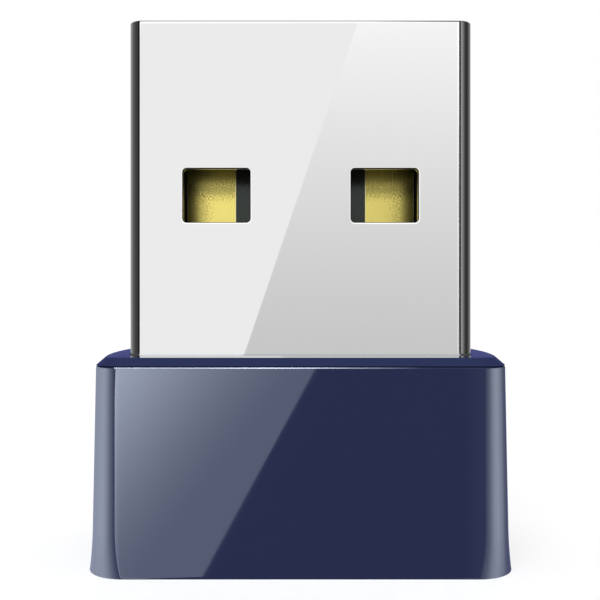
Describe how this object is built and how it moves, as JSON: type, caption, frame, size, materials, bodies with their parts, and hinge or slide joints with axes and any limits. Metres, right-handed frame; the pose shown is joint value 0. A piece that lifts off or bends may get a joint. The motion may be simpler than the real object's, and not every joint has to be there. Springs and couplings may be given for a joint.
{
  "type": "usb wifi adapter",
  "caption": "Nano-size USB wireless network adapter: a type A plug with two contact windows on a small glossy flared housing.",
  "frame": {"origin": "centre of the housing's flat base", "axes": "+Z along the plug, from the base to its tip; -Y out of the broad face on the side of the plug's contacts; +X across the broad faces, to the right seen from that side"},
  "size_m": [0.015, 0.0072, 0.019],
  "materials": {
    "navy_plastic": "high gloss moulded ABS",
    "plated_sheet": "bright nickel-plated steel sheet",
    "gold_contact": "gold plating",
    "board": "glass-epoxy board under black solder mask",
    "black_plastic": "fine matt moulding",
    "copper_track": "etched copper under solder mask",
    "solder": "bright solder",
    "chip_epoxy": "matt moulded epoxy",
    "crystal_can": "plated can",
    "ferrite": "sintered ferrite",
    "ceramic": "fired ceramic with tinned ends"
  },
  "bodies": {
    "root": {"housing": "navy_plastic", "top_cover": "navy_plastic", "plug_shell": "plated_sheet", "main_board": "board", "plug_carrier": "black_plastic", "stop_bar": "black_plastic", "contact_vbus": "gold_contact", "contact_data_minus": "gold_contact", "contact_data_plus": "gold_contact", "contact_ground": "gold_contact", "solder_left": "solder", "solder_right": "solder", "antenna": "copper_track", "wifi_chip": "chip_epoxy", "voltage_regulator": "chip_epoxy", "esd_guard": "chip_epoxy", "crystal": "crystal_can", "power_inductor": "ferrite", "input_capacitor": "ceramic", "output_capacitor": "ceramic", "supply_capacitor_1": "ceramic", "supply_capacitor_2": "ceramic", "matching_inductor": "ceramic", "matching_capacitor_1": "ceramic", "matching_capacitor_2": "ceramic"}
  },
  "joints": []
}
